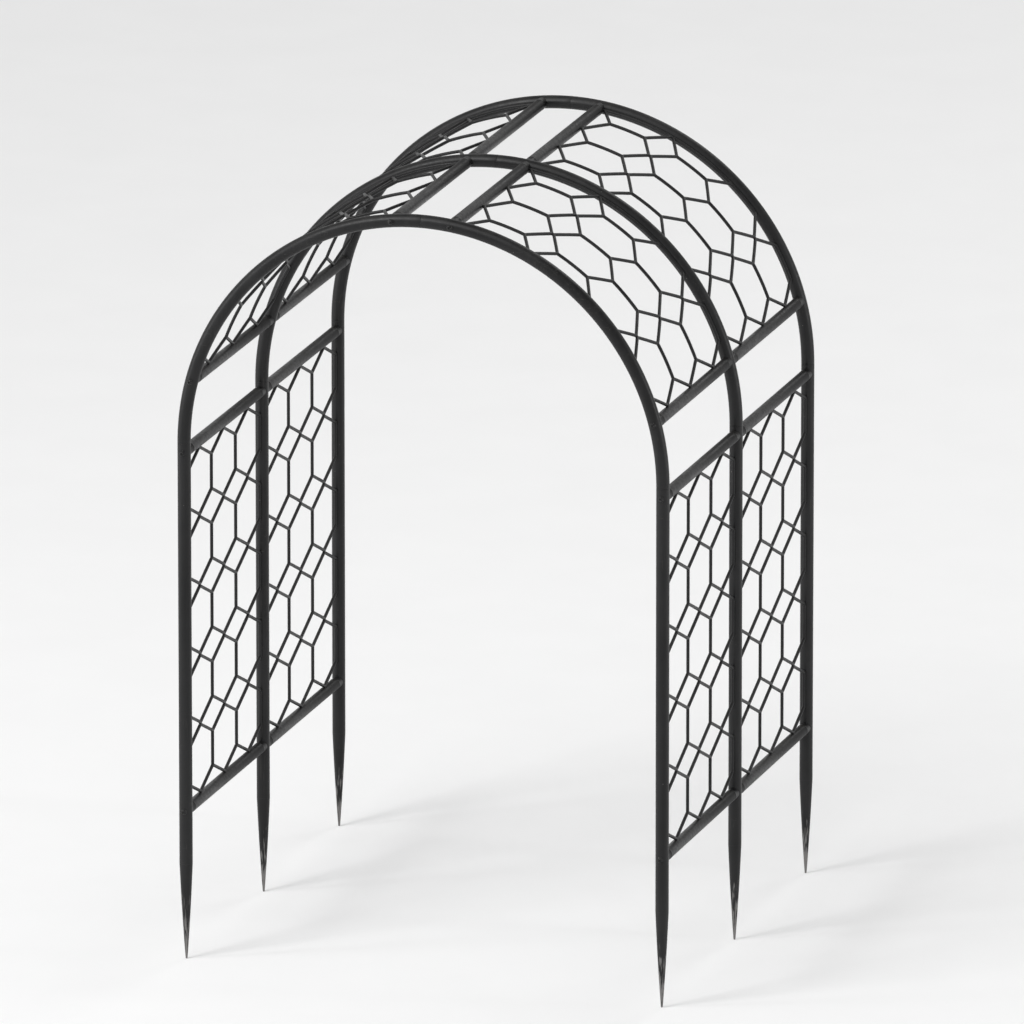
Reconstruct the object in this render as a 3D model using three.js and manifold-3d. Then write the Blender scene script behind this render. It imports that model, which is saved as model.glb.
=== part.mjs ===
// A metal trellis arch for a garden walkway. Three round-topped tube hoops stand in a row
// and are joined by rails. Hexagon lattices of round rod fill both sides and both haunches.
//
// Millimetres, +Z up. X runs across the walkway and Y along it. The origin is on the ground
// plane of the spike tips, midway between them. A part's place in the round top is given by
// its angle, which starts at the right-hand springing and grows towards the left.

import * as THREE from "three";
import { mergeVertices } from "three/addons/utils/BufferGeometryUtils.js";
import Module from "manifold-3d";

const wasm = await Module();
wasm.setup();

// Overall sizes
const legSpacing = 1500; // between the centre lines of a hoop's two legs
const bayLength = 700; // between the centre lines of neighbouring hoops
const springingHeight = 1612; // where the straight legs end and the round top starts
const footRailHeight = 465;
const sideRailDrop = 30; // side rail below the springing
const haunchRailAngle = 15; // degrees up from the springing
const crownRailAngle = 83;

// Sections
const hoopDiameter = 40;
const hoopWall = 1.5;
const railDiameter = 35;
const railWall = 1.5;
const rodDiameter = 10;

// Joints
const clearance = 0.3; // between pieces that sit on or in each other
const spigotPastBolt = 30; // how far a half arch's spigot runs past the bolt that pins it
const spigotNeck = 6; // solid ring where a spigot joins its tube
const plugLength = 25; // threaded plug in the end of a rail
const threadEngagement = 18;
const boltDiameter = 8;
const boltHolePlay = 1; // how much wider a bolt's hole through a hoop is than the bolt
const boltHeadDiameter = 15;
const boltHeadHeight = 4.5;
const flangeDiameter = 20;
const flangeThickness = 1.6;

// Ground spikes
const spikeLength = 300; // the taper below the leg tube
const spikeTipDiameter = 6;
const spikeShankLength = 50; // inside the leg tube

// Lattices
const latticeColumns = 3; // hexagons across a bay
const sideRows = [0, 0, 0, 0, 0]; // a row's shift along the bay, in hexagon widths, going up
const archRows = [0, 0, 0.5, 0.5];
const apexShare = 0.25; // of a row's pitch, taken by each pointed end of a hexagon

// Facets of the round shapes
const hoopSides = 12;
const smallSides = 8;
const holeSides = 6;
const hoopFacets = 24; // in the half circle of a hoop
const domeFacets = 2;
const bentLatticeFacets = 11; // from the haunch rail to the crown rail

const hoopRadius = hoopDiameter / 2;
const hoopBore = hoopRadius - hoopWall;
const spigotRadius = hoopBore - clearance;
const spigotBore = spigotRadius - hoopWall;
const railRadius = railDiameter / 2;
const rodRadius = rodDiameter / 2;
const boltRadius = boltDiameter / 2;
const archRadius = legSpacing / 2;
const sideRailHeight = springingHeight - sideRailDrop;
const hoopPlaces = { front: -bayLength, middle: 0, back: bayLength };
const bays = { front_bay: hoopPlaces.front, back_bay: hoopPlaces.middle };
const sides = { left: -1, right: 1 };

const steel = { color: 0x15161a, metalness: 0.6, roughness: 0.45 };
const zincBlack = { color: 0x2b2c30, metalness: 0.8, roughness: 0.4 };

const object = new THREE.Group();

function addPiece(name, geometry, look, place = [0, 0, 0], turn = 0) {
  const mesh = new THREE.Mesh(geometry, new THREE.MeshStandardMaterial(look));
  mesh.name = name;
  mesh.position.set(...place);
  mesh.rotation.z = turn;
  object.add(mesh);
}

// ---- Solids for joining and cutting ----

function toSolid(geometry) {
  const bare = geometry.clone();
  bare.deleteAttribute("normal");
  bare.deleteAttribute("uv");
  const merged = mergeVertices(bare);
  const corners = [];
  for (let i = 0; i < merged.index.count; i += 3) {
    const triangle = [merged.index.getX(i), merged.index.getX(i + 1), merged.index.getX(i + 2)];
    if (new Set(triangle).size === 3) corners.push(...triangle);
  }
  const vertProperties = new Float32Array(merged.attributes.position.array);
  const triVerts = new Uint32Array(corners);
  return new wasm.Manifold(new wasm.Mesh({ numProp: 3, vertProperties, triVerts }));
}

function toGeometry(solid) {
  const { vertProperties, triVerts } = solid.getMesh();
  const geometry = new THREE.BufferGeometry();
  geometry.setAttribute("position", new THREE.BufferAttribute(vertProperties, 3));
  geometry.setIndex(new THREE.BufferAttribute(triVerts, 1));
  geometry.computeVertexNormals();
  return geometry;
}

function cutAll(solid, cutters) {
  return cutters.reduce((left, cutter) => left.subtract(cutter), solid);
}

// ---- Round shapes, whose flats stand at the stated radius ----

function cornerRadius(radius, count) {
  return radius / Math.cos(Math.PI / count);
}

// Turns a profile of [radius, height] pairs about the Z axis.
function turned(profile, count) {
  const points = profile.map(([radius, height]) => {
    return new THREE.Vector2(cornerRadius(radius, count), height);
  });
  return new THREE.LatheGeometry(points, count, Math.PI / count).rotateX(Math.PI / 2);
}

// A straight tube along Z. A bore of 0 makes it a solid bar.
function straightTube(radius, bore, low, high, count) {
  const outside = [[radius, low], [radius, high]];
  if (bore === 0) return turned([[0, low], ...outside, [0, high]], count);
  return turned([[bore, low], ...outside, [bore, high], [bore, low]], count);
}

// A cylinder along Y, centred at a point.
function crossBar(radius, length, count, { x, y, z }) {
  const bar = straightTube(radius, 0, -length / 2, length / 2, count);
  return toSolid(bar.rotateX(-Math.PI / 2).translate(x, y, z));
}

function ringOutline(radius, count) {
  const corner = cornerRadius(radius, count);
  return Array.from({ length: count }, (_, side) => {
    const angle = ((side + 0.5) / count) * 2 * Math.PI;
    return new THREE.Vector2(corner * Math.cos(angle), corner * Math.sin(angle));
  });
}

// ---- The round top ----

function arcPoint(degrees, radius = archRadius) {
  const angle = THREE.MathUtils.degToRad(degrees);
  return new THREE.Vector3(radius * Math.cos(angle), 0, springingHeight + radius * Math.sin(angle));
}

function arcDegrees(length) {
  return THREE.MathUtils.radToDeg(length / archRadius);
}

// A point on the tube's own faceted centre line.
function topPoint(degrees) {
  const facet = 180 / hoopFacets;
  const step = Math.floor(degrees / facet);
  return arcPoint(step * facet).lerp(arcPoint((step + 1) * facet), degrees / facet - step);
}

// The centre line of part of the round top, for an extrusion with square-cut ends.
class TopPath extends THREE.Curve {
  constructor(from, to) {
    super();
    const facet = 180 / hoopFacets;
    this.stations = [from];
    for (let step = Math.floor(from / facet) + 1; step * facet < to; step += 1) {
      this.stations.push(step * facet);
    }
    this.stations.push(to);
  }

  getSpacedPoints() {
    return this.stations.map((degrees) => topPoint(degrees));
  }

  computeFrenetFrames() {
    const tangents = this.stations.map((degrees) => {
      const angle = THREE.MathUtils.degToRad(degrees);
      return new THREE.Vector3(-Math.sin(angle), 0, Math.cos(angle));
    });
    const binormals = tangents.map(() => new THREE.Vector3(0, 1, 0));
    const normals = tangents.map((tangent, i) => binormals[i].clone().cross(tangent));
    return { tangents, normals, binormals };
  }
}

function topTube(from, to, radius, bore) {
  const section = new THREE.Shape(ringOutline(radius, hoopSides));
  if (bore > 0) section.holes.push(new THREE.Path(ringOutline(bore, hoopSides)));
  const extrudePath = new TopPath(from, to);
  return new THREE.ExtrudeGeometry(section, { steps: extrudePath.stations.length - 1, extrudePath });
}

// ---- Rails: one place for every piece that has to line up with them ----

function railPlaces(side) {
  const atAngle = (degrees) => topPoint(side > 0 ? degrees : 180 - degrees);
  return {
    foot: new THREE.Vector3(side * archRadius, 0, footRailHeight),
    side: new THREE.Vector3(side * archRadius, 0, sideRailHeight),
    haunch: atAngle(haunchRailAngle),
    crown: atAngle(crownRailAngle),
  };
}

function boltHole(place) {
  return crossBar((boltDiameter + boltHolePlay) / 2, 2 * hoopDiameter, holeSides, place);
}

// ---- Hoops ----

function legTube() {
  const low = spikeLength;
  const high = springingHeight - clearance;
  const tube = toSolid(straightTube(hoopRadius, hoopBore, low, high, hoopSides));
  const holes = [footRailHeight, sideRailHeight].map((z) => boltHole({ x: 0, y: 0, z }));
  return toGeometry(cutAll(tube, holes));
}

// The lower end plugs into the leg, where the side rail's bolt pins it.
function legSpigot(side) {
  const low = sideRailHeight - spigotPastBolt;
  const high = springingHeight + spigotNeck;
  const plug = straightTube(spigotRadius, spigotBore, low, high, hoopSides);
  const middleOfWall = hoopWall / 2;
  const neck = straightTube(
    hoopRadius - middleOfWall,
    spigotRadius - middleOfWall,
    springingHeight,
    high,
    hoopSides,
  );
  const x = side * archRadius;
  return toSolid(plug.translate(x, 0, 0)).add(toSolid(neck.translate(x, 0, 0)));
}

// The left half's crown end plugs into the right half, where the crown rail's bolt pins it.
function crownSpigot() {
  const low = crownRailAngle - arcDegrees(spigotPastBolt);
  const high = 90 + arcDegrees(spigotNeck);
  const plug = topTube(low, high, spigotRadius, spigotBore);
  const middleOfWall = hoopWall / 2;
  const neck = topTube(90, high, hoopRadius - middleOfWall, spigotRadius - middleOfWall);
  return toSolid(plug).add(toSolid(neck));
}

function halfArch(side) {
  const crownEnd = 90 - arcDegrees(clearance);
  const [from, to] = side > 0 ? [0, crownEnd] : [90, 180];
  let solid = toSolid(topTube(from, to, hoopRadius, hoopBore)).add(legSpigot(side));
  if (side < 0) solid = solid.add(crownSpigot());
  const pins = [railPlaces(side).side, railPlaces(side).haunch, railPlaces(side).crown];
  if (side < 0) pins.push(railPlaces(1).crown);
  return toGeometry(cutAll(solid, pins.map(boltHole)));
}

// What the rail ends are cut back to, so that they sit on the hoop tube.
function hoopEnvelope(side, y) {
  const radius = hoopRadius + clearance;
  const leg = straightTube(radius, 0, spikeLength, springingHeight, hoopSides);
  const [from, to] = side > 0 ? [0, 90] : [90, 180];
  const top = topTube(from, to, radius, 0).translate(0, y, 0);
  return toSolid(leg.translate(side * archRadius, y, 0)).add(toSolid(top));
}

// ---- Rails ----

// Runs between the middle planes of two hoops before its ends are cut to the tubes. A studded
// rail is closed in front, and its stud passes through the middle hoop into the rail before it.
function rail(place, side, studded) {
  const plugEnd = hoopRadius + plugLength;
  const bore = boltRadius + clearance;
  const inside = railRadius - railWall;
  const frontEnd = studded ? 0 : bore;
  const low = clearance;
  const high = bayLength - clearance;
  const profile = [
    [frontEnd, low],
    [railRadius, low],
    [railRadius, high],
    [bore, high],
    [bore, bayLength - plugEnd],
    [inside, bayLength - plugEnd],
    [inside, plugEnd],
    [frontEnd, plugEnd],
  ];
  if (!studded) profile.push([frontEnd, low]);
  const bar = turned(profile, smallSides).rotateX(-Math.PI / 2).translate(place.x, 0, place.z);
  const solid = cutAll(toSolid(bar), [hoopEnvelope(side, 0), hoopEnvelope(side, bayLength)]);
  if (!studded) return toGeometry(solid);
  const stud = hoopRadius + threadEngagement;
  return toGeometry(solid.add(crossBar(boltRadius, 2 * stud, smallSides, place)));
}

// Head towards -Y, with its seat on the hoop's front.
function railBolt() {
  const seat = -(hoopRadius + clearance);
  const underDome = seat - flangeThickness;
  const profile = [[0, underDome - boltHeadHeight]];
  for (let step = 1; step <= domeFacets; step += 1) {
    const angle = (step / domeFacets) * (Math.PI / 2);
    const radius = (boltHeadDiameter / 2) * Math.sin(angle);
    profile.push([radius, underDome - boltHeadHeight * Math.cos(angle)]);
  }
  profile.push([flangeDiameter / 2, underDome], [flangeDiameter / 2, seat]);
  profile.push([boltRadius, seat], [boltRadius, hoopRadius + threadEngagement]);
  profile.push([0, hoopRadius + threadEngagement]);
  return turned(profile, smallSides).rotateX(-Math.PI / 2);
}

// ---- Ground spikes ----

function groundSpike() {
  const shoulder = spikeLength - clearance;
  const profile = [
    [0, 0],
    [spikeTipDiameter / 2, 0],
    [hoopRadius, shoulder],
    [hoopBore - clearance, shoulder],
    [hoopBore - clearance, spikeLength + spikeShankLength],
    [0, spikeLength + spikeShankLength],
  ];
  return turned(profile, hoopSides);
}

// ---- Lattices ----

// Upright rods stand in a row between two zigzag rods and make hexagons of them. Rows meet
// point to point and leave diamonds between them, and a row that is shifted by half a hexagon
// nests into the one below and shares its zigzag. Each hoop has an upright rod along it.
function latticePlate(length, rows) {
  const width = bayLength - 2 * (hoopRadius + clearance);
  const insideWidth = width - 2 * rodDiameter;
  const betweenEdgeRods = toSolid(new THREE.BoxGeometry(insideWidth, 3 * length, 3 * rodDiameter));
  const edge = (width - rodDiameter) / 2;
  const column = (2 * edge) / latticeColumns;
  const seams = rows.filter((shift, row) => row > 0 && shift !== rows[row - 1]).length;
  const pitch = length / (rows.length - seams * apexShare);
  const rise = pitch * apexShare;
  const slope = Math.atan2(rise, column / 2);
  const riseGap = rodRadius / Math.cos(slope);
  const cells = [];

  function cellSolid(points) {
    const depth = 2 * rodDiameter;
    const prism = new THREE.ExtrudeGeometry(new THREE.Shape(points), { depth, bevelEnabled: false });
    return toSolid(prism.translate(0, 0, -depth / 2));
  }

  function addHexagon(u, low) {
    const half = column / 2 - rodRadius;
    const point = low + riseGap;
    const shoulder = point + (rise * half) / (column / 2);
    const flip = (v) => 2 * low + pitch - v;
    const hexagon = cellSolid([
      new THREE.Vector2(u, point),
      new THREE.Vector2(u + half, shoulder),
      new THREE.Vector2(u + half, flip(shoulder)),
      new THREE.Vector2(u, flip(point)),
      new THREE.Vector2(u - half, flip(shoulder)),
      new THREE.Vector2(u - half, shoulder),
    ]);
    cells.push(hexagon.intersect(betweenEdgeRods));
  }

  function addDiamond(u, v) {
    const halfHeight = rise - riseGap;
    const halfWidth = column / 2 - rodRadius / Math.sin(slope);
    const diamond = cellSolid([
      new THREE.Vector2(u, v - halfHeight),
      new THREE.Vector2(u + halfWidth, v),
      new THREE.Vector2(u, v + halfHeight),
      new THREE.Vector2(u - halfWidth, v),
    ]);
    cells.push(diamond);
  }

  let low = 0;
  rows.forEach((shift, row) => {
    const nested = row > 0 && shift !== rows[row - 1];
    if (nested) low -= rise;
    for (let k = 0; k <= latticeColumns; k += 1) {
      const seamLine = (k + shift) * column - edge;
      const centre = (k + 0.5 - shift) * column - edge;
      if (centre < edge + rodRadius) addHexagon(centre, low);
      if (!nested) addDiamond(seamLine, low);
      if (row === rows.length - 1) addDiamond(seamLine, low + pitch);
    }
    low += pitch;
  });

  const plate = new THREE.BoxGeometry(width, length, rodDiameter).translate(0, length / 2, 0);
  return cutAll(toSolid(plate), cells);
}

function railEdge() {
  return cornerRadius(railRadius, smallSides) + clearance;
}

function sideLattice() {
  const low = footRailHeight + railEdge();
  const high = sideRailHeight - railEdge();
  const along = new THREE.Vector3(0, 1, 0);
  const up = new THREE.Vector3(0, 0, 1);
  const out = new THREE.Vector3(1, 0, 0);
  const stand = new THREE.Matrix4().makeBasis(along, up, out);
  const plate = toGeometry(latticePlate(high - low, sideRows));
  return plate.applyMatrix4(stand).translate(archRadius, 0, low);
}

// The flat lattice is laid on the round top, between the haunch rail and the crown rail.
function archLattice() {
  const low = haunchRailAngle + arcDegrees(railEdge());
  const high = crownRailAngle - arcDegrees(railEdge());
  const length = THREE.MathUtils.degToRad(high - low) * archRadius;
  const plate = latticePlate(length, archRows).refineToLength(length / bentLatticeFacets);
  const geometry = toGeometry(plate);
  const position = geometry.attributes.position;
  for (let i = 0; i < position.count; i += 1) {
    const onTop = arcPoint(low + arcDegrees(position.getY(i)), archRadius + position.getZ(i));
    position.setXYZ(i, onTop.x, position.getX(i), onTop.z);
  }
  return geometry;
}

// ---- Assembly ----

const leg = legTube();
const spike = groundSpike();
const bolt = railBolt();
const uprightLattice = sideLattice();
const bentLattice = archLattice();

for (const [sideName, side] of Object.entries(sides)) {
  const arch = halfArch(side);
  for (const [hoopName, y] of Object.entries(hoopPlaces)) {
    const foot = [side * archRadius, y, 0];
    addPiece(`leg_${hoopName}_${sideName}`, leg, steel, foot);
    addPiece(`half_arch_${hoopName}_${sideName}`, arch, steel, [0, y, 0]);
    addPiece(`ground_spike_${hoopName}_${sideName}`, spike, steel, foot);
  }

  const halfTurn = side > 0 ? 0 : Math.PI;
  for (const [bayName, y] of Object.entries(bays)) {
    const middle = [0, y + bayLength / 2, 0];
    addPiece(`side_lattice_${bayName}_${sideName}`, uprightLattice, steel, middle, halfTurn);
    addPiece(`arch_lattice_${bayName}_${sideName}`, bentLattice, steel, middle, halfTurn);
  }

  for (const [level, place] of Object.entries(railPlaces(side))) {
    for (const [bayName, y] of Object.entries(bays)) {
      const geometry = rail(place, side, bayName === "back_bay");
      addPiece(`${level}_rail_${bayName}_${sideName}`, geometry, steel, [0, y, 0]);
    }
    const front = [place.x, hoopPlaces.front, place.z];
    const back = [place.x, hoopPlaces.back, place.z];
    addPiece(`${level}_rail_bolt_front_${sideName}`, bolt, zincBlack, front);
    addPiece(`${level}_rail_bolt_back_${sideName}`, bolt, zincBlack, back, Math.PI);
  }
}

export default object;
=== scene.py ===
"""Finished surfaces for a metal trellis arch: tube hoops, rails, hexagon lattices and spikes.

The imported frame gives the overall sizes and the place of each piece. Lengths are in metres
and +Z is up. X runs across the walkway and Y along it, from the front hoop to the back hoop.
"""

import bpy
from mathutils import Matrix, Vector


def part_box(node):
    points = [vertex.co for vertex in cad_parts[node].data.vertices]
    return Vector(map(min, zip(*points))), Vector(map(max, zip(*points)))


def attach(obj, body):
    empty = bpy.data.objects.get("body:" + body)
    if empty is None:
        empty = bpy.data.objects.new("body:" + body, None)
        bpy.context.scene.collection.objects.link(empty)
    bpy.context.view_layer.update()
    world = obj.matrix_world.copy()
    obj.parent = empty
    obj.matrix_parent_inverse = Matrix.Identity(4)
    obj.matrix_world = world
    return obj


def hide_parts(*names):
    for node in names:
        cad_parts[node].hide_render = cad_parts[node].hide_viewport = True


bl_info = {
    "name": "Metal Trellis Arch",
    "version": (1, 0, 0),
    "blender": (4, 5, 0),
    "location": "3D View > Sidebar > Trellis Arch",
    "description": "Builds the finished pieces of a garden trellis arch on its packed frame",
    "category": "Add Mesh",
}

import math
import random

import bmesh
import bpy
from bpy.props import FloatProperty, FloatVectorProperty, IntProperty, PointerProperty
from mathutils import Matrix, Vector

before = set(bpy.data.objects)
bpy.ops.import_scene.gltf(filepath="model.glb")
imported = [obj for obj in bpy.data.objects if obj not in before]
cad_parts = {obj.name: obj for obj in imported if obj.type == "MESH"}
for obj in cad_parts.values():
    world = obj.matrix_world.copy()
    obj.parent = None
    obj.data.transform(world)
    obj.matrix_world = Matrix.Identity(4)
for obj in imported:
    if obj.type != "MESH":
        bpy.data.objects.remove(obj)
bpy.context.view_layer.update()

HOOPS = ("front", "middle", "back")
SIDES = {"left": -1, "right": 1}
BAYS = {"front_bay": ("front", "middle"), "back_bay": ("middle", "back")}
RAIL_LEVELS = ("foot", "side", "haunch", "crown")

# Each lattice's rows from the bottom up: a row's shift along the bay, in hexagon widths.
SIDE_ROWS = (0.0, 0.0, 0.0, 0.0, 0.0)
ARCH_ROWS = (0.0, 0.0, 0.5, 0.5)
COLUMNS = 3
APEX_SHARE = 0.25  # of a row's pitch, taken by each pointed end of a hexagon


def centre(node):
    low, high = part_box(node)
    return (low + high) / 2


def extent(node):
    low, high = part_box(node)
    return high - low


HOOP_RADIUS = extent("leg_front_right").x / 2
RAIL_RADIUS = extent("foot_rail_front_bay_right").x / 2
ROD_RADIUS = extent("side_lattice_front_bay_right").x / 2
BOLT_FLANGE_RADIUS = extent("foot_rail_bolt_front_right").x / 2
ARCH_RADIUS = centre("leg_front_right").x
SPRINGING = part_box("leg_front_right")[1].z


# ---- Settings ----


class TrellisArchSizes(bpy.types.PropertyGroup):
    tube_wall: FloatProperty(
        name="Tube wall",
        description="Wall of the hoop tubes and the rails",
        default=0.0015,
        unit="LENGTH",
    )
    slip_gap: FloatProperty(
        name="Slip gap",
        description="Gap between pieces that sit on or in each other",
        default=0.0003,
        unit="LENGTH",
    )
    rim_chamfer: FloatProperty(
        name="Rim chamfer",
        description="Broken edge at the end of a tube",
        default=0.0006,
        unit="LENGTH",
    )
    rod_bend: FloatProperty(
        name="Rod bend radius",
        description="Bend at each corner of a zigzag rod, on its centre line",
        default=0.011,
        unit="LENGTH",
    )
    round_steps: IntProperty(
        name="Round steps",
        description="Faces round a hoop tube",
        default=40,
        min=12,
    )


class TrellisArchFinish(bpy.types.PropertyGroup):
    coat_colour: FloatVectorProperty(
        name="Coat",
        description="Black powder coat",
        default=(0.0042, 0.0042, 0.0046),
        size=3,
        subtype="COLOR",
    )
    faded_colour: FloatVectorProperty(
        name="Faded coat",
        description="Powder coat where weather has dulled it",
        default=(0.011, 0.011, 0.0115),
        size=3,
        subtype="COLOR",
    )
    dust_colour: FloatVectorProperty(
        name="Dust",
        description="Dry dust that settles on upper faces",
        default=(0.20, 0.185, 0.16),
        size=3,
        subtype="COLOR",
    )
    bare_steel_colour: FloatVectorProperty(
        name="Bare steel",
        description="Steel that shows where the coat is scraped off",
        default=(0.20, 0.195, 0.19),
        size=3,
        subtype="COLOR",
    )
    coat_roughness: FloatProperty(
        name="Coat roughness",
        description="Roughness of clean powder coat",
        default=0.37,
        subtype="FACTOR",
    )
    coat_gloss: FloatProperty(
        name="Coat gloss",
        description="Specular level of the powder coat",
        default=0.30,
        subtype="FACTOR",
    )
    scrape_height: FloatProperty(
        name="Scraped height",
        description="How far up from its tip a ground spike is scraped by soil",
        default=0.26,
        unit="LENGTH",
    )


class TrellisArchStage(bpy.types.PropertyGroup):
    camera_azimuth: FloatProperty(
        name="Camera azimuth",
        description="Camera's turn to the right of straight in front",
        default=math.radians(18.6),
        unit="ROTATION",
    )
    camera_elevation: FloatProperty(
        name="Camera elevation",
        description="Camera's angle above the horizon",
        default=math.radians(16.5),
        unit="ROTATION",
    )
    camera_distance: FloatProperty(
        name="Camera distance",
        description="From the camera to the point it looks at",
        default=60.0,
        unit="LENGTH",
    )
    camera_lens: FloatProperty(
        name="Camera lens",
        description="Focal length in millimetres on a 36 mm sensor",
        default=703.0,
    )
    look_at: FloatVectorProperty(
        name="Look at",
        description="Point in the middle of the picture",
        default=(0.044, 0.0, 1.274),
        size=3,
        subtype="TRANSLATION",
    )
    floor_colour: FloatVectorProperty(
        name="Floor",
        description="Pale floor",
        default=(0.88, 0.88, 0.88),
        size=3,
        subtype="COLOR",
    )


# ---- Materials ----


class Finish:
    """A material whose nodes are being laid out."""

    def __init__(self, name):
        self.material = bpy.data.materials.new(name)
        self.material.use_nodes = True
        self.tree = self.material.node_tree
        self.tree.nodes.clear()
        self.place = self.add("ShaderNodeTexCoord").outputs["Object"]

    def add(self, kind, inputs=None, **settings):
        node = self.tree.nodes.new(kind)
        for name, value in settings.items():
            setattr(node, name, value)
        for name, value in (inputs or {}).items():
            if isinstance(value, bpy.types.NodeSocket):
                self.tree.links.new(value, node.inputs[name])
            else:
                node.inputs[name].default_value = value
        return node

    def noise(self, scale, detail=2.0, stretch=(1.0, 1.0, 1.0)):
        mapping = self.add("ShaderNodeMapping", {"Vector": self.place, "Scale": stretch})
        inputs = {"Vector": mapping.outputs["Vector"], "Scale": scale, "Detail": detail}
        return self.add("ShaderNodeTexNoise", inputs).outputs["Fac"]

    def remap(self, value, low, high, to_low=0.0, to_high=1.0):
        inputs = {"Value": value, "From Min": low, "From Max": high}
        inputs |= {"To Min": to_low, "To Max": to_high}
        return self.add("ShaderNodeMapRange", inputs).outputs["Result"]

    def maths(self, operation, first, second):
        node = self.add("ShaderNodeMath", {0: first, 1: second}, operation=operation, use_clamp=True)
        return node.outputs["Value"]

    def mix(self, factor, first, second):
        node = self.add("ShaderNodeMix", {"Factor": factor}, data_type="RGBA")
        for socket, colour in (("A", first), ("B", second)):
            target = next(s for s in node.inputs if s.name == socket and s.type == "RGBA")
            if isinstance(colour, bpy.types.NodeSocket):
                self.tree.links.new(colour, target)
            else:
                target.default_value = (*colour, 1.0)
        return next(s for s in node.outputs if s.type == "RGBA")

    def bump(self, height, strength, distance, normal=None):
        inputs = {"Height": height, "Strength": strength, "Distance": distance}
        if normal is not None:
            inputs["Normal"] = normal
        return self.add("ShaderNodeBump", inputs).outputs["Normal"]

    def facing_up(self):
        normal = self.add("ShaderNodeNewGeometry").outputs["Normal"]
        return self.add("ShaderNodeSeparateXYZ", {"Vector": normal}).outputs["Z"]

    def height(self):
        return self.add("ShaderNodeSeparateXYZ", {"Vector": self.place}).outputs["Z"]

    def done(self, **inputs):
        named = {name.replace("_", " "): value for name, value in inputs.items()}
        shader = self.add("ShaderNodeBsdfPrincipled", named)
        self.add("ShaderNodeOutputMaterial", {"Surface": shader.outputs["BSDF"]})
        return self.material


def weathering(finish):
    """Dulled patches, and faint runs down the coat."""
    patches = finish.remap(finish.noise(6.0, 5.0), 0.40, 0.70)
    run_noise = finish.noise(70.0, 3.0, stretch=(1.0, 1.0, 0.04))
    runs = finish.remap(run_noise, 0.45, 0.75, 0.0, 0.5)
    return patches, finish.maths("ADD", patches, runs)


def settled_dust(finish, amount):
    """Grains of dust in patches on the faces that look up."""
    upward = finish.remap(finish.facing_up(), 0.35, 0.98)
    grains = finish.remap(finish.noise(420.0, 2.0), 0.42, 0.60)
    patchy = finish.remap(finish.noise(24.0, 5.0), 0.36, 0.70)
    settled = finish.maths("MULTIPLY", patchy, grains)
    return finish.maths("MULTIPLY", finish.maths("MULTIPLY", upward, settled), amount)


def hairline_scratches(finish):
    """Fine scratches up and across, gathered in patches."""
    upright_noise = finish.noise(520.0, 1.0, stretch=(1.0, 1.0, 0.02))
    across_noise = finish.noise(480.0, 1.0, stretch=(0.03, 0.5, 1.0))
    upright = finish.remap(upright_noise, 0.69, 0.72)
    across = finish.remap(across_noise, 0.70, 0.73)
    patchy = finish.remap(finish.noise(9.0, 2.0), 0.50, 0.60)
    return finish.maths("MULTIPLY", finish.maths("MAXIMUM", upright, across), patchy)


def small_chips(finish):
    """Specks about two millimetres wide where the coat is knocked off."""
    cells = finish.add("ShaderNodeTexVoronoi", {"Vector": finish.place, "Scale": 38.0})
    speck = finish.remap(cells.outputs["Distance"], 0.050, 0.036)
    return finish.maths("MULTIPLY", speck, finish.remap(finish.noise(5.0, 2.0), 0.60, 0.64))


def powder_coat(name, peel_scale=620.0, peel_depth=0.00022, dust_amount=0.10, worn=None):
    """Black powder coat with orange peel. Where worn gives a share of the surface, the steel
    shows there too."""
    look = bpy.context.scene.trellis_arch_finish
    finish = Finish(name)
    patches, weathered = weathering(finish)
    dust = settled_dust(finish, dust_amount)
    scratches = hairline_scratches(finish)
    chips = small_chips(finish)
    bare = chips if worn is None else finish.maths("MAXIMUM", chips, worn(finish))

    scratch_tint = 0.12
    colour = finish.mix(weathered, look.coat_colour, look.faded_colour)
    colour = finish.mix(dust, colour, look.dust_colour)
    colour = finish.mix(finish.maths("MULTIPLY", scratches, scratch_tint), colour, look.dust_colour)
    colour = finish.mix(bare, colour, look.bare_steel_colour)

    smoother, rougher = look.coat_roughness - 0.05, look.coat_roughness + 0.09
    uneven = finish.remap(finish.noise(90.0, 4.0), 0.3, 0.7, smoother, rougher)
    dulled = finish.maths("ADD", uneven, finish.maths("MULTIPLY", patches, 0.08))
    roughness = finish.maths("ADD", dulled, finish.maths("MULTIPLY", dust, 2.0))

    peel = finish.bump(finish.noise(peel_scale, 1.5), 0.45, peel_depth)
    ripple = finish.bump(finish.noise(55.0, 2.0), 0.25, 0.0007, peel)
    marks = finish.maths("SUBTRACT", 1.0, finish.maths("MAXIMUM", bare, scratches))
    marked = finish.bump(marks, 0.4, 0.0002, ripple)
    metal = finish.maths("MULTIPLY", bare, 0.85)
    return finish.done(
        Base_Color=colour,
        Roughness=roughness,
        Metallic=metal,
        Normal=marked,
        Specular_IOR_Level=look.coat_gloss,
    )


def soil_scrape(finish):
    """Streaks along a spike, thickest at its tip."""
    reach = bpy.context.scene.trellis_arch_finish.scrape_height
    near_tip = finish.remap(finish.height(), reach, 0.0, 0.0, 0.75)
    streak_noise = finish.noise(260.0, 4.0, stretch=(1.0, 1.0, 0.06))
    streaks = finish.remap(streak_noise, 0.3, 0.7, -0.2, 0.5)
    return finish.remap(finish.maths("ADD", near_tip, streaks), 0.55, 0.75)


def tool_rub(finish):
    """Rubbed places on a bolt head, where a key and a washer have turned."""
    return finish.remap(finish.noise(300.0, 5.0), 0.60, 0.70, 0.0, 0.7)


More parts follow.
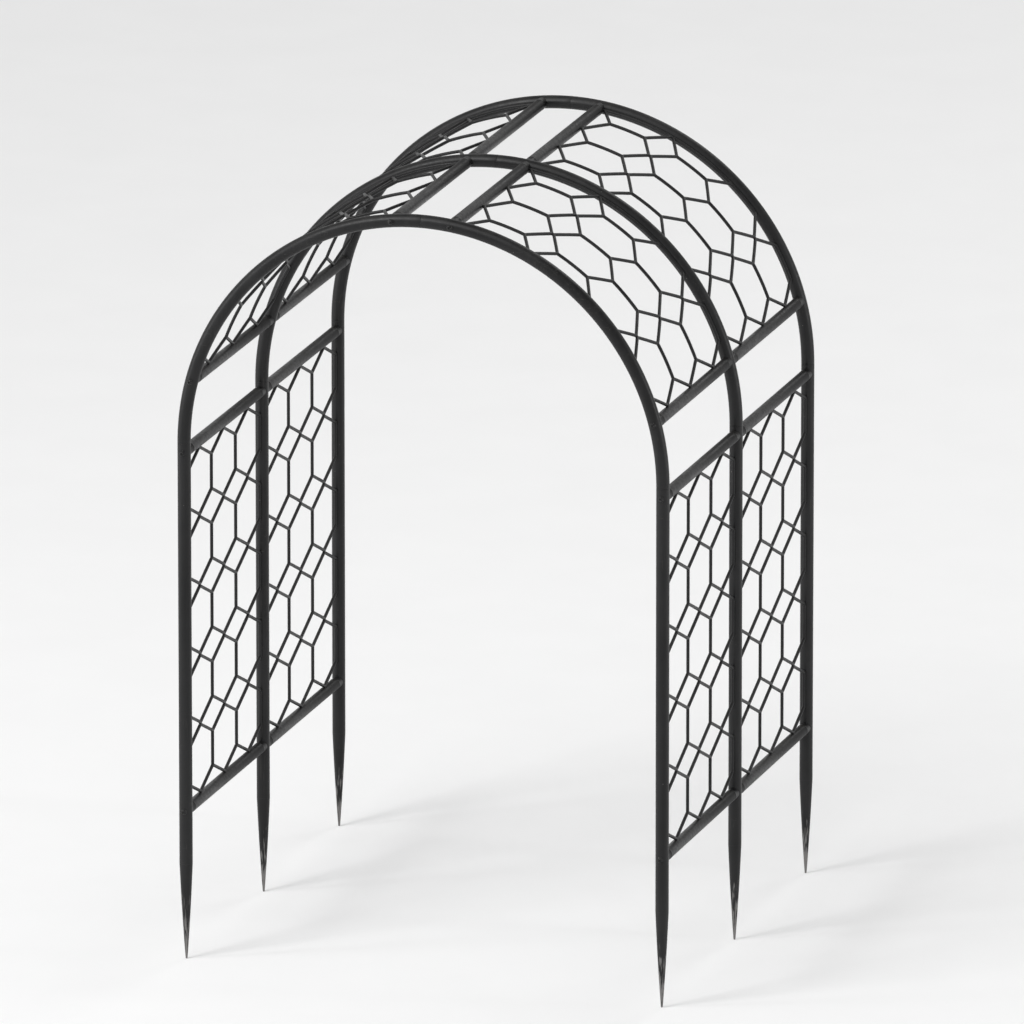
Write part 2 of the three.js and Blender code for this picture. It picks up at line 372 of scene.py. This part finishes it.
MATERIALS = {
    "hoop_tube": lambda: powder_coat("powder_coat_hoop"),
    "rail_tube": lambda: powder_coat("powder_coat_rail", dust_amount=0.14),
    "lattice_rod": lambda: powder_coat("powder_coat_rod", peel_scale=760.0),
    "ground_spike": lambda: powder_coat("powder_coat_spike", 420.0, 0.0004, 0.1, soil_scrape),
    "bolt": lambda: powder_coat("coated_bolt", 900.0, 0.0001, 0.1, tool_rub),
}


def finish_for(slot):
    made = bpy.context.scene.get("trellis_arch_materials", {})
    if slot not in made:
        material = MATERIALS[slot]()
        bpy.context.scene["trellis_arch_materials"] = {**dict(made), slot: material.name}
        return material
    return bpy.data.materials[made[slot]]


# ---- Mesh work ----


def append(bm, other, matrix=Matrix()):
    """Adds a copy of another mesh, moved by a matrix."""
    copy = bpy.data.meshes.new("copy")
    other.to_mesh(copy)
    copy.transform(matrix)
    bm.from_mesh(copy)
    bpy.data.meshes.remove(copy)


def add_piece(name, bm, slot, *nodes):
    """Makes the finished object that stands for the frame's nodes, and frees the bmesh."""
    sharp = math.radians(38)
    bmesh.ops.recalc_face_normals(bm, faces=bm.faces)
    for face in bm.faces:
        face.smooth = True
    for edge in bm.edges:
        edge.smooth = edge.calc_face_angle(0.0) < sharp
    mesh = bpy.data.meshes.new(name)
    bm.to_mesh(mesh)
    bm.free()
    mesh.materials.append(finish_for(slot))
    piece = bpy.data.objects.new(name, mesh)
    bpy.context.scene.collection.objects.link(piece)
    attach(piece, "root")
    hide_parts(*nodes)
    return piece


def turned(profile, steps):
    """Spins a profile of (radius, height) points round the Z axis. A profile that ends where it
    starts makes a ring."""
    bm = bmesh.new()
    ring = profile[0] == profile[-1]
    verts = [bm.verts.new((radius, 0, height)) for radius, height in profile[: -1 if ring else None]]
    pairs = list(zip(verts, verts[1:]))
    if ring:
        pairs.append((verts[-1], verts[0]))
    edges = [bm.edges.new(pair) for pair in pairs]
    bmesh.ops.spin(
        bm,
        geom=verts + edges,
        cent=(0, 0, 0),
        axis=(0, 0, 1),
        dvec=(0, 0, 0),
        angle=math.tau,
        steps=steps,
        use_merge=True,
    )
    bmesh.ops.remove_doubles(bm, verts=bm.verts, dist=1e-6)
    return bm


def lay_along_y(bm):
    """Turns what was spun round the Z axis to lie along Y."""
    lay = Matrix.Rotation(-math.pi / 2, 3, "X")
    bmesh.ops.rotate(bm, cent=(0, 0, 0), matrix=lay, verts=bm.verts)


def new_rim(bm, made):
    """The corners and edges of an open rim that was just drawn."""
    verts = [item for item in made if isinstance(item, bmesh.types.BMVert)]
    edges = {edge for vert in verts for edge in vert.link_edges}
    return verts, [edge for edge in edges if edge.verts[0] in verts and edge.verts[1] in verts]


def feed(bm, rim, travel, longest):
    """Draws an open rim along a straight run, in steps no longer than stated."""
    count = max(1, math.ceil(travel.length / longest))
    for _ in range(count):
        made = bmesh.ops.extrude_edge_only(bm, edges=rim)["geom"]
        verts, rim = new_rim(bm, made)
        bmesh.ops.translate(bm, vec=travel / count, verts=verts)
    return rim


def bend(bm, rim, pivot, axis, angle, steps):
    """Draws an open rim round a bend."""
    made = bmesh.ops.spin(
        bm,
        geom=rim,
        cent=pivot,
        axis=axis,
        dvec=(0, 0, 0),
        angle=angle,
        steps=steps,
        use_merge=False,
    )["geom_last"]
    return new_rim(bm, made)[1]


def rim_circle(bm, radius, sides, matrix):
    verts = bmesh.ops.create_circle(bm, segments=sides, radius=radius, matrix=matrix)["verts"]
    return list({edge for vert in verts for edge in vert.link_edges})


# ---- Hoops ----


def weld_groove(sizes):
    """Chamfer where a leg and its spike meet, which their weld fills."""
    return sizes.tube_wall * 0.8


def tube_profile(radius, bore, low, high, low_chamfer, high_chamfer):
    return [
        (bore, low),
        (radius - low_chamfer, low),
        (radius, low + low_chamfer),
        (radius, high - high_chamfer),
        (radius - high_chamfer, high),
        (bore, high),
        (bore, low),
    ]


def bent_tube(radius, bore, start, end, chamfer, steps):
    """A tube bent round the origin in the XZ plane, between two angles from the X axis."""
    sizes = bpy.context.scene.trellis_arch_sizes
    bm = bmesh.new()
    rims = []
    for size in (radius, bore):
        stand = Matrix.Rotation(-start, 4, "Y") @ Matrix.Translation((ARCH_RADIUS, 0, 0))
        first = rim_circle(bm, size, sizes.round_steps, stand)
        last = bend(bm, first, (0, 0, 0), (0, -1, 0), end - start, steps)
        rims.append((first, last))
    ends = []
    for outer, inner in zip(*rims):
        bmesh.ops.bridge_loops(bm, edges=outer + inner)
        ends += outer
    bmesh.ops.bevel(
        bm, geom=ends, offset=chamfer, segments=2, profile=0.5, affect="EDGES", material=-1
    )
    return bm


class TRELLIS_OT_leg_tubes(bpy.types.Operator):
    """Six straight leg tubes"""

    bl_idname = "trellis_arch.leg_tubes"
    bl_label = "Leg Tubes"

    def execute(self, context):
        sizes = context.scene.trellis_arch_sizes
        bore = HOOP_RADIUS - sizes.tube_wall
        groove = weld_groove(sizes)
        for hoop in HOOPS:
            for side in SIDES:
                node = f"leg_{hoop}_{side}"
                low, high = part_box(node)
                profile = tube_profile(HOOP_RADIUS, bore, low.z, high.z, groove, sizes.rim_chamfer)
                bm = turned(profile, sizes.round_steps)
                middle = centre(node)
                bmesh.ops.translate(bm, vec=(middle.x, middle.y, 0), verts=bm.verts)
                add_piece(f"leg_tube_{hoop}_{side}", bm, "hoop_tube", node)
        return {"FINISHED"}


class TRELLIS_OT_half_arches(bpy.types.Operator):
    """Six bent half arches with the spigots that plug into the legs and into each other"""

    bl_idname = "trellis_arch.half_arches"
    bl_label = "Half Arches"

    def execute(self, context):
        sizes = context.scene.trellis_arch_sizes
        for hoop in HOOPS:
            for side, sign in SIDES.items():
                node = f"half_arch_{hoop}_{side}"
                bm = self.half_arch(node, sign, sizes)
                add_piece(f"bent_tube_{hoop}_{side}", bm, "hoop_tube", node)
        return {"FINISHED"}

    def half_arch(self, node, sign, sizes):
        low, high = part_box(node)
        bore = HOOP_RADIUS - sizes.tube_wall
        spigot = bore - sizes.slip_gap
        quarter = math.pi / 2
        gap = sizes.slip_gap / 2 / ARCH_RADIUS
        bend_steps = 64
        spigot_steps = 6
        hidden = 0.004  # how far a spigot starts inside its own tube
        bm = bent_tube(HOOP_RADIUS, bore, gap, quarter - gap, sizes.rim_chamfer, bend_steps)
        depth = SPRINGING - low.z
        inside = spigot - sizes.tube_wall
        plug = tube_profile(spigot, inside, -depth, hidden, sizes.rim_chamfer, 0.0)
        append(bm, turned(plug, sizes.round_steps), Matrix.Translation((ARCH_RADIUS, 0, 0)))
        crown_reach = high.x if sign < 0 else 0.0
        if crown_reach > sizes.rim_chamfer:
            start = quarter - hidden / ARCH_RADIUS
            end = quarter + math.asin(crown_reach / ARCH_RADIUS)
            append(bm, bent_tube(spigot, inside, start, end, sizes.rim_chamfer, spigot_steps))
        place = Matrix.Translation((0, centre(node).y, SPRINGING))
        bmesh.ops.transform(bm, matrix=place @ Matrix.Diagonal((sign, 1, 1, 1)), verts=bm.verts)
        return bm


class TRELLIS_OT_ground_spikes(bpy.types.Operator):
    """Six tapered ground spikes, each with the weld that closes it to its leg"""

    bl_idname = "trellis_arch.ground_spikes"
    bl_label = "Ground Spikes"

    def execute(self, context):
        sizes = context.scene.trellis_arch_sizes
        for hoop in HOOPS:
            for side in SIDES:
                node = f"ground_spike_{hoop}_{side}"
                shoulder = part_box(f"leg_{hoop}_{side}")[0].z
                bm = turned(self.profile(node, shoulder, sizes), sizes.round_steps)
                append(bm, self.weld(shoulder, sizes))
                middle = centre(node)
                bmesh.ops.translate(bm, vec=(middle.x, middle.y, 0), verts=bm.verts)
                add_piece(f"spike_{hoop}_{side}", bm, "ground_spike", node)
        return {"FINISHED"}

    def profile(self, node, shoulder, sizes):
        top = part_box(node)[1].z
        tip = 0.003  # radius of the blunt tip
        groove = weld_groove(sizes)
        shank = HOOP_RADIUS - sizes.tube_wall - sizes.slip_gap
        taper_steps = 14
        bulge = 0.0012
        points = [(0.0, 0.0), (tip * 0.6, 0.0), (tip, tip * 0.5)]
        for step in range(1, taper_steps + 1):
            along = step / taper_steps
            straight = tip + (HOOP_RADIUS - tip) * along
            rounded = straight + bulge * math.sin(math.pi * along)
            points.append((min(HOOP_RADIUS, rounded), (shoulder - groove) * along))
        points += [(HOOP_RADIUS - groove, shoulder), (shank, shoulder), (shank, top - groove)]
        points += [(shank - groove, top), (0.0, top)]
        return points

    def weld(self, shoulder, sizes):
        """A ripple bead that fills the groove, no prouder than the tube."""
        ripples = 34
        ripple_depth = 0.006  # as a share of the radius
        ripple_height = 0.0002
        bead = turned(self.bead_outline(weld_groove(sizes)), 4 * ripples)
        for vert in bead.verts:
            around = math.atan2(vert.co.y, vert.co.x)
            ripple = 1.0 - ripple_depth * (1.0 + math.cos(ripples * around))
            vert.co.x *= ripple
            vert.co.y *= ripple
            vert.co.z += ripple_height * math.sin(ripples * around)
        bmesh.ops.translate(bead, vec=(0, 0, shoulder), verts=bead.verts)
        return bead

    def bead_outline(self, radius):
        outline = []
        steps = 8
        height = 1.3 * radius
        for step in range(steps + 1):
            angle = step / steps * math.tau
            across = HOOP_RADIUS - radius + radius * math.cos(angle)
            outline.append((across, height * math.sin(angle)))
        outline[-1] = outline[0]
        return outline


# ---- Rails ----


def hoop_radial(place, sign):
    """The direction in which a hoop's tube leaves its own centre line outwards, at a rail."""
    if place.z <= SPRINGING:
        return Vector((sign, 0, 0))
    return Vector((place.x, 0, place.z - SPRINGING)).normalized()


def rail_between(level, bay, side):
    node = f"{level}_rail_{bay}_{side}"
    place = centre(node)
    front, back = (centre(f"leg_{hoop}_{side}").y for hoop in BAYS[bay])
    return node, Vector((place.x, 0, place.z)), front, back


class TRELLIS_OT_rails(bpy.types.Operator):
    """Sixteen rails, their ends coped to the hoops"""

    bl_idname = "trellis_arch.rails"
    bl_label = "Rails"

    def execute(self, context):
        sizes = context.scene.trellis_arch_sizes
        for level in RAIL_LEVELS:
            for bay in BAYS:
                for side, sign in SIDES.items():
                    node, place, front, back = rail_between(level, bay, side)
                    bm = self.rail(front, back, sizes)
                    self.cope(bm, hoop_radial(place, sign), front, back, sizes)
                    if bay == "back_bay":
                        append(bm, self.stud(front, sizes))
                    bmesh.ops.translate(bm, vec=place, verts=bm.verts)
                    add_piece(f"rail_{level}_{bay}_{side}", bm, "rail_tube", node)
        return {"FINISHED"}

    def rail(self, front, back, sizes):
        """A tube along Y whose ends are closed by threaded plugs, each with its weld ring."""
        low = front + HOOP_RADIUS + sizes.slip_gap
        high = back - HOOP_RADIUS - sizes.slip_gap
        thread = 0.0043
        chamfer = sizes.rim_chamfer
        weld = 0.0016
        weld_place = 0.021
        weld_height = weld * 0.3
        plug = 0.025
        round_steps = 32
        inside = RAIL_RADIUS - sizes.tube_wall
        half = [(thread, 0.0), (RAIL_RADIUS - chamfer, 0.0), (RAIL_RADIUS, chamfer)]
        half += [(RAIL_RADIUS, weld_place - weld)]
        half += [(RAIL_RADIUS + weld_height, weld_place - weld / 2)]
        half += [(RAIL_RADIUS + weld_height, weld_place + weld / 2)]
        half += [(RAIL_RADIUS, weld_place + weld)]
        outside = [(radius, low + along) for radius, along in half]
        outside += [(radius, high - along) for radius, along in reversed(half)]
        within = [(thread, high - plug), (inside, high - plug)]
        within += [(inside, low + plug), (thread, low + plug)]
        bm = turned(outside + within + outside[:1], round_steps)
        lay_along_y(bm)
        return bm

    def cope(self, bm, radial, front, back, sizes):
        """Draws each end on until it fits the round of the hoop."""
        reach = HOOP_RADIUS + sizes.slip_gap
        end_zone = 0.004
        for vert in bm.verts:
            offset = min(abs(vert.co.dot(radial)), reach)
            hollow = reach - math.sqrt(reach * reach - offset * offset)
            if vert.co.y < front + reach + end_zone:
                vert.co.y -= hollow
            elif vert.co.y > back - reach - end_zone:
                vert.co.y += hollow

    def stud(self, front, sizes):
        """Runs from the front plug through the middle hoop into the rail before it."""
        radius = 0.004
        threaded = 0.018
        point = radius * 0.8
        point_length = radius * 0.3
        round_steps = 16
        reach = HOOP_RADIUS + threaded
        profile = [(0, -reach), (point, -reach), (radius, -reach + point_length)]
        profile += [(radius, reach), (0, reach)]
        bm = turned(profile, round_steps)
        lay_along_y(bm)
        bmesh.ops.translate(bm, vec=(0, front, 0), verts=bm.verts)
        return bm


class TRELLIS_OT_rail_bolts(bpy.types.Operator):
    """Sixteen flanged dome-head bolts with hexagon sockets"""

    bl_idname = "trellis_arch.rail_bolts"
    bl_label = "Rail Bolts"

    def execute(self, context):
        for level in RAIL_LEVELS:
            for end in ("front", "back"):
                for side in SIDES:
                    node = f"{level}_rail_bolt_{end}_{side}"
                    low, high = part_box(node)
                    bm = self.bolt(high.y - low.y)
                    if end == "front":
                        face_out = Matrix.Rotation(math.pi / 2, 4, "X")
                        head = low.y
                    else:
                        face_out = Matrix.Rotation(-math.pi / 2, 4, "X")
                        head = high.y
                    middle = centre(node)
                    place = Matrix.Translation((middle.x, head, middle.z)) @ face_out
                    bmesh.ops.transform(bm, matrix=place, verts=bm.verts)
                    add_piece(f"bolt_{level}_{end}_{side}", bm, "bolt", node)
        return {"FINISHED"}

    def bolt(self, length):
        """Head up, its top at the origin. The socket's round wall is pulled out to a hexagon."""
        flange = BOLT_FLANGE_RADIUS
        flange_thickness = 0.0016
        dome = 0.0075
        dome_height = 0.0045
        shank = 0.004
        socket = 0.0025
        socket_depth = 0.003
        drill_point = 0.0006
        break_edge = 0.0004
        flange_slope = 0.0012
        round_over = 0.0002
        shank_chamfer = 0.001
        mouth = socket + break_edge
        points = [(0.0, -socket_depth - drill_point), (socket, -socket_depth)]
        points += [(socket, -break_edge), (mouth, 0.0)]
        dome_steps = 7
        for step in range(1, dome_steps + 1):
            angle = step / dome_steps * math.pi / 2
            across = mouth + (dome - mouth) * math.sin(angle)
            points.append((across, -dome_height * (1 - math.cos(angle))))
        rim = -dome_height - flange_thickness
        points += [(flange - flange_slope, -dome_height - round_over)]
        points += [(flange - round_over, -dome_height - 3 * round_over)]
        points += [(flange, -dome_height - 5 * round_over)]
        points += [(flange, rim + round_over), (flange - round_over, rim), (shank, rim)]
        points += [(shank, -length + shank_chamfer), (shank - shank_chamfer, -length)]
        points += [(0.0, -length)]
        round_steps = 48
        bm = turned(points, round_steps)
        for vert in bm.verts:
            radius = math.hypot(vert.co.x, vert.co.y)
            if abs(radius - socket) < 1e-5 and vert.co.z > -2 * socket_depth:
                sixth = math.pi / 3
                around = math.atan2(vert.co.y, vert.co.x) % sixth - sixth / 2
                vert.co.x /= math.cos(around)
                vert.co.y /= math.cos(around)
        return bm


# ---- Lattices ----

# Half sizes of weld beads, in rod radii: along the bay, up and through.
JOINT_WELD = (1.45, 1.25, 0.94)
CONTACT_WELD = (1.7, 0.85, 0.9)


def bent_rod(corners, longest):
    """A round rod fed along an outline in the XY plane and bent at each of its corners."""
    bend_radius = bpy.context.scene.trellis_arch_sizes.rod_bend
    sides = 12
    bend_steps = 4
    points = [Vector((x, y, 0)) for x, y in corners]
    place, route = points[0], points[1:]
    bm = bmesh.new()
    heading = (route[0] - place).normalized()
    facing = Matrix.Translation(place) @ heading.to_track_quat("Z", "Y").to_matrix().to_4x4()
    first = rim_circle(bm, ROD_RADIUS, sides, facing)
    rim = first
    for corner, after in zip(route, route[1:]):
        leaving = (after - corner).normalized()
        turn = math.atan2(heading.cross(leaving).z, heading.dot(leaving))
        way = math.copysign(1.0, turn)
        trim = bend_radius * math.tan(abs(turn) / 2)
        rim = feed(bm, rim, corner - heading * trim - place, longest)
        inward = Vector((-heading.y, heading.x, 0)) * way
        pivot = corner - heading * trim + inward * bend_radius
        rim = bend(bm, rim, pivot, (0, 0, way), abs(turn), bend_steps)
        place = corner + leaving * trim
        heading = leaving
    last = feed(bm, rim, route[-1] - place, longest)
    bmesh.ops.edgeloop_fill(bm, edges=first)
    bmesh.ops.edgeloop_fill(bm, edges=last)
    return bm


class LatticeLayout:
    """Where the rods and welds of one lattice go, flat, with x along the bay and y up.

    Upright rods stand in each row between two zigzag rods. A row that is shifted against the
    one below shares its zigzag. A joint is a weld where rods meet end to side, and a contact is
    one where two bends, or a bend and a rail, touch.
    """

    def __init__(self, width, length, shifts):
        bend_radius = bpy.context.scene.trellis_arch_sizes.rod_bend
        self.edge = width / 2 - ROD_RADIUS
        self.half_column = self.edge / COLUMNS
        nested = [row > 0 and shift != shifts[row - 1] for row, shift in enumerate(shifts)]
        self.pitch = length / (len(shifts) - APEX_SHARE * sum(nested))
        self.rise = self.pitch * APEX_SHARE
        slope = math.atan2(self.rise, self.half_column)
        self.lost_in_bend = bend_radius * (1 / math.cos(slope) - 1)
        self.rods = []
        self.joints = []
        self.contacts = []
        low = 0.0
        for row, shift in enumerate(shifts):
            if nested[row]:
                low -= self.rise
            shared_above = row + 1 < len(shifts) and nested[row + 1]
            self.lay_row(shift, low, nested[row], shared_above, row == len(shifts) - 1)
            low += self.pitch

    def lay_row(self, shift, low, shared_below, shared_above, is_last):
        high = low + self.pitch
        touch = 0.9 * ROD_RADIUS  # a little under a radius, so that bends press together
        low_point = low if shared_below else low + touch
        high_point = high if shared_above else high - touch
        below, above = [], []
        for place in range(2 * COLUMNS + 1):
            u = place * self.half_column - self.edge
            by_hoop = place in (0, 2 * COLUMNS)
            pointed = (place % 2 == 1) != (shift != 0)
            if pointed:
                below.append((u, low_point - self.lost_in_bend))
                above.append((u, high_point + self.lost_in_bend))
                if not shared_below:
                    self.contacts.append((u, low))
                if is_last:
                    self.contacts.append((u, high))
            else:
                below.append((u, low + self.rise))
                above.append((u, high - self.rise))
            if by_hoop or not pointed:
                foot = low_point if pointed else low + self.rise
                head = high_point if pointed else high - self.rise
                self.rods.append([(u, foot), (u, head)])
                self.joints += [(u, foot), (u, head)]
        self.rods.append(above)
        if not shared_below:
            self.rods.append(below)


def add_weld(bm, place, size, chance):
    """A small bead, each a little different from the next. Its size is in rod radii."""
    spread = [1.0 + chance.uniform(-0.12, 0.12) for _ in range(2)]
    shape = Matrix.Diagonal((size[0] * spread[0], size[1] * spread[1], size[2], 1))
    turn = Matrix.Rotation(chance.uniform(-0.2, 0.2), 4, "Z")
    matrix = Matrix.Translation((*place, 0)) @ turn @ shape
    bmesh.ops.create_uvsphere(bm, u_segments=8, v_segments=6, radius=ROD_RADIUS, matrix=matrix)


def flat_lattice(width, length, shifts, longest, seed):
    """All rods and welds of a lattice. A rod's straight runs are made in steps no longer than
    stated, so that a lattice which is bent afterwards stays smooth."""
    layout = LatticeLayout(width, length, shifts)
    bm = bmesh.new()
    for corners in layout.rods:
        rod = bent_rod(corners, longest)
        append(bm, rod)
        rod.free()
    chance = random.Random(seed)
    for place in layout.joints:
        add_weld(bm, place, JOINT_WELD, chance)
    for place in layout.contacts:
        add_weld(bm, place, CONTACT_WELD, chance)
    return bm


def hoop_place(hoop):
    return centre(f"leg_{hoop}_right").y


def lattice_width():
    gap = bpy.context.scene.trellis_arch_sizes.slip_gap
    return hoop_place("middle") - hoop_place("front") - 2 * (HOOP_RADIUS + gap)


def add_to_bays(where, bm):
    """Puts a copy of a lattice, made for the right-hand side, in each bay on both sides."""
    for bay, hoops in BAYS.items():
        middle = sum(hoop_place(hoop) for hoop in hoops) / len(hoops)
        for side in SIDES:
            half_turn = Matrix.Rotation(0.0 if side == "right" else math.pi, 4, "Z")
            copy = bm.copy()
            place = Matrix.Translation((0, middle, 0)) @ half_turn
            bmesh.ops.transform(copy, matrix=place, verts=copy.verts)
            node = f"{where}_lattice_{bay}_{side}"
            add_piece(f"rods_{where}_{bay}_{side}", copy, "lattice_rod", node)
    bm.free()


class TRELLIS_OT_side_lattices(bpy.types.Operator):
    """Four upright lattices of zigzag and straight rods"""

    bl_idname = "trellis_arch.side_lattices"
    bl_label = "Side Lattices"

    def execute(self, context):
        low = centre("foot_rail_front_bay_right").z + RAIL_RADIUS
        high = centre("side_rail_front_bay_right").z - RAIL_RADIUS
        length = high - low
        bm = flat_lattice(lattice_width(), length, SIDE_ROWS, longest=length, seed=11)
        stand = Matrix(((0, 0, 1, ARCH_RADIUS), (1, 0, 0, 0), (0, 1, 0, low), (0, 0, 0, 1)))
        bmesh.ops.transform(bm, matrix=stand, verts=bm.verts)
        add_to_bays("side", bm)
        return {"FINISHED"}


class TRELLIS_OT_arch_lattices(bpy.types.Operator):
    """Four lattices bent to the round top, between the haunch rails and the crown rails"""

    bl_idname = "trellis_arch.arch_lattices"
    bl_label = "Arch Lattices"

    def execute(self, context):
        bend_step = 0.016
        half_rail = RAIL_RADIUS / ARCH_RADIUS
        low = self.angle("haunch_rail_front_bay_right") + half_rail
        high = self.angle("crown_rail_front_bay_right") - half_rail
        length = (high - low) * ARCH_RADIUS
        bm = flat_lattice(lattice_width(), length, ARCH_ROWS, longest=bend_step, seed=21)
        for vert in bm.verts:
            angle = low + vert.co.y / ARCH_RADIUS
            radius = ARCH_RADIUS + vert.co.z
            across, up = radius * math.cos(angle), radius * math.sin(angle)
            vert.co = (across, vert.co.x, up + SPRINGING)
        add_to_bays("arch", bm)
        return {"FINISHED"}

    def angle(self, rail):
        place = centre(rail)
        return math.atan2(place.z - SPRINGING, place.x)


# ---- Stage ----

# Area lights: name, offset from the point looked at, width and height, and power in watts.
STUDIO_LIGHTS = (
    ("key_light", (-7.0, -9.0, 10.0), (3.6, 3.6), 700.0),
    ("rim_light", (3.5, 10.0, 9.5), (4.5, 4.5), 220.0),
    ("left_strip", (-8.8, -5.2, 1.8), (1.0, 5.0), 200.0),
    ("right_strip", (9.6, 1.2, 1.8), (1.0, 5.0), 160.0),
)


class TRELLIS_OT_stage(bpy.types.Operator):
    """Pale floor, soft studio light and the camera"""

    bl_idname = "trellis_arch.stage"
    bl_label = "Stage"

    def execute(self, context):
        stage = context.scene.trellis_arch_stage
        self.add_floor(stage)
        self.add_world(context.scene)
        self.add_camera(context.scene, stage)
        look_at = Vector(stage.look_at)
        self.add_sun()
        for name, offset, size, power in STUDIO_LIGHTS:
            self.add_light(name, look_at, Vector(offset), size, power)
        return {"FINISHED"}

    def add_floor(self, stage):
        half_size = 120.0
        bm = bmesh.new()
        bmesh.ops.create_grid(bm, x_segments=1, y_segments=1, size=half_size)
        mesh = bpy.data.meshes.new("floor")
        bm.to_mesh(mesh)
        bm.free()
        finish = Finish("pale_floor")
        mottle = finish.remap(finish.noise(3.0, 3.0), 0.3, 0.7, 0.0, 0.5)
        slightly_darker = [value * 0.97 for value in stage.floor_colour]
        colour = finish.mix(mottle, stage.floor_colour, slightly_darker)
        mesh.materials.append(finish.done(Base_Color=colour, Roughness=0.9))
        floor = bpy.data.objects.new("floor", mesh)
        bpy.context.scene.collection.objects.link(floor)

    def add_world(self, scene):
        """Near white at the horizon and greyer overhead, so that round tubes keep their shape."""
        at_horizon = 0.92
        overhead = 0.38
        overhead_from = 0.7  # height of a direction, of which straight up has 1
        world = bpy.data.worlds.new("studio")
        world.use_nodes = True
        tree = world.node_tree
        direction = tree.nodes.new("ShaderNodeTexCoord").outputs["Generated"]
        split = tree.nodes.new("ShaderNodeSeparateXYZ")
        shade = tree.nodes.new("ShaderNodeMapRange")
        shade.inputs["From Min"].default_value = 0.0
        shade.inputs["From Max"].default_value = overhead_from
        shade.inputs["To Min"].default_value = at_horizon
        shade.inputs["To Max"].default_value = overhead
        tree.links.new(direction, split.inputs["Vector"])
        tree.links.new(split.outputs["Z"], shade.inputs["Value"])
        tree.links.new(shade.outputs["Result"], tree.nodes["Background"].inputs["Strength"])
        tree.nodes["Background"].inputs["Color"].default_value = (1.0, 1.0, 1.0, 1.0)
        scene.world = world
        scene.view_settings.view_transform = "Standard"

    def add_sun(self):
        """Lights the whole floor evenly and softly."""
        data = bpy.data.lights.new("soft_sun", "SUN")
        data.energy = 1.1
        data.angle = math.radians(50)
        sun = bpy.data.objects.new("soft_sun", data)
        sun.rotation_euler = (math.radians(32), math.radians(-18), 0.0)
        bpy.context.scene.collection.objects.link(sun)

    def add_camera(self, scene, stage):
        turn, rise = stage.camera_azimuth, stage.camera_elevation
        level = math.cos(rise)
        back = Vector((math.sin(turn) * level, -math.cos(turn) * level, math.sin(rise)))
        data = bpy.data.cameras.new("camera")
        data.lens = stage.camera_lens
        data.clip_end = 200.0
        camera = bpy.data.objects.new("camera", data)
        camera.location = Vector(stage.look_at) + back * stage.camera_distance
        camera.rotation_euler = (-back).to_track_quat("-Z", "Y").to_euler()
        scene.collection.objects.link(camera)
        scene.camera = camera

    def add_light(self, name, target, offset, size, power):
        data = bpy.data.lights.new(name, "AREA")
        data.shape = "RECTANGLE"
        data.size, data.size_y = size
        data.energy = power
        light = bpy.data.objects.new(name, data)
        light.location = target + offset
        light.rotation_euler = (-offset).to_track_quat("-Z", "Y").to_euler()
        light.visible_camera = False
        bpy.context.scene.collection.objects.link(light)


# ---- Panel and registration ----

BUILD_ORDER = (
    TRELLIS_OT_leg_tubes,
    TRELLIS_OT_half_arches,
    TRELLIS_OT_ground_spikes,
    TRELLIS_OT_rails,
    TRELLIS_OT_rail_bolts,
    TRELLIS_OT_side_lattices,
    TRELLIS_OT_arch_lattices,
    TRELLIS_OT_stage,
)


class TRELLIS_PT_panel(bpy.types.Panel):
    """Lists the steps that build the arch"""

    bl_idname = "TRELLIS_PT_panel"
    bl_label = "Trellis Arch"
    bl_space_type = "VIEW_3D"
    bl_region_type = "UI"
    bl_category = "Trellis Arch"

    def draw(self, context):
        for operator in BUILD_ORDER:
            self.layout.operator(operator.bl_idname)
        for group in ("trellis_arch_sizes", "trellis_arch_finish", "trellis_arch_stage"):
            settings = getattr(context.scene, group)
            box = self.layout.box()
            for name in settings.bl_rna.properties.keys():
                if name not in {"rna_type", "name"}:
                    box.prop(settings, name)


SETTINGS = {
    "trellis_arch_sizes": TrellisArchSizes,
    "trellis_arch_finish": TrellisArchFinish,
    "trellis_arch_stage": TrellisArchStage,
}


def register():
    for group in (*SETTINGS.values(), *BUILD_ORDER, TRELLIS_PT_panel):
        bpy.utils.register_class(group)
    for name, group in SETTINGS.items():
        setattr(bpy.types.Scene, name, PointerProperty(type=group))


def unregister():
    for name in SETTINGS:
        delattr(bpy.types.Scene, name)
    for group in (TRELLIS_PT_panel, *reversed(BUILD_ORDER), *SETTINGS.values()):
        bpy.utils.unregister_class(group)


def main():
    register()
    for operator in BUILD_ORDER:
        getattr(bpy.ops.trellis_arch, operator.bl_idname.split(".")[1])()


if __name__ == "__main__":
    main()
